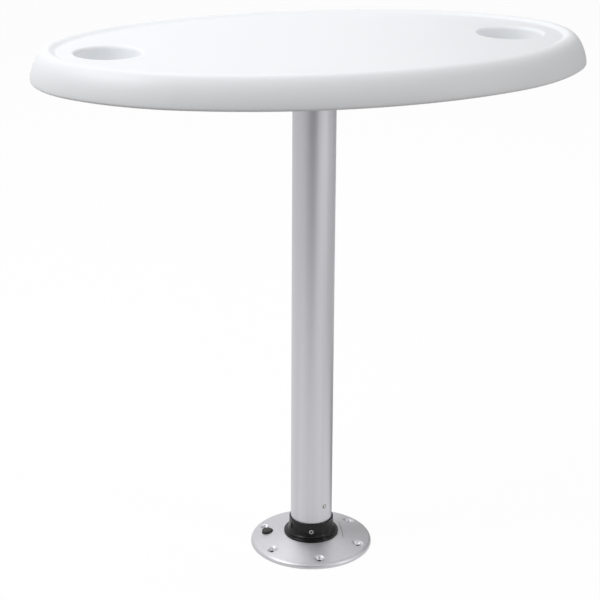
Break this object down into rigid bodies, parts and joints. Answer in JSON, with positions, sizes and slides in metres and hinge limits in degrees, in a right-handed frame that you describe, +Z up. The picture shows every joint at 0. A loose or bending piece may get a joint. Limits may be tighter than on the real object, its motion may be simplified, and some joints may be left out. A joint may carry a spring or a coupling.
{
  "type": "pedestal table",
  "caption": "Oval table top with two cup wells on one round pole, plugged into a surface-mounted floor base with a latch button.",
  "frame": {"origin": "centre of the base's floor face, on the pole's axis", "axes": "+X along the long axis of the oval top, +Y along its short axis, +Z up along the pole"},
  "size_m": [0.762, 0.457, 0.7525],
  "materials": {
    "white_plastic": "satin",
    "brass_insert": "satin",
    "bracket_metal": "satin",
    "post_metal": "satin",
    "base_metal": "satin",
    "steel": "satin",
    "spring_steel": "bright",
    "latch_steel": "satin",
    "black_nylon": "satin",
    "collar_plastic": "satin",
    "button_plastic": "satin",
    "black_rubber": "matt"
  },
  "bodies": {
    "base": {"base_plate": "base_metal", "base_collar": "collar_plastic", "collar_screws": "steel", "clamp_screw": "steel", "foot_washer": "black_rubber", "keeper_plate": "latch_steel", "keeper_screws": "steel", "button_spring": "spring_steel"},
    "post": {"post": "post_metal", "post_cap": "black_nylon", "post_foot": "black_nylon", "foot_rivets": "steel"},
    "table": {"tabletop": "white_plastic", "bracket_inserts": "brass_insert", "table_bracket": "bracket_metal", "bracket_screws": "steel", "upper_bushing": "black_nylon", "bracket_set_screws": "steel"},
    "button": {"release_button": "button_plastic"},
    "latch": {"latch_slide": "latch_steel"}
  },
  "joints": [
    {"name": "post_lift", "type": "slide", "parent": "base", "child": "post", "axis": [0, 0, 1], "range_m": [0, 0.045]},
    {"name": "table_swivel", "type": "hinge", "parent": "post", "child": "table", "pos_m": [0, 0, 0.7], "axis": [0, 0, 1], "continuous": true},
    {"name": "button_press", "type": "slide", "parent": "base", "child": "button", "axis": [0, 0, -1], "range_m": [0, 0.0025], "stiffness_N_per_m": 600, "springref_m": -0.002, "deforming": ["button_spring"]},
    {"name": "latch_draw", "type": "slide", "parent": "base", "child": "latch", "axis": [-0.9403, 0.3404, 0], "range_m": [0, 0.0025]}
  ],
  "couplings": [
    {"joint": "latch_draw", "follows": "button_press", "ratio": 1}
  ]
}
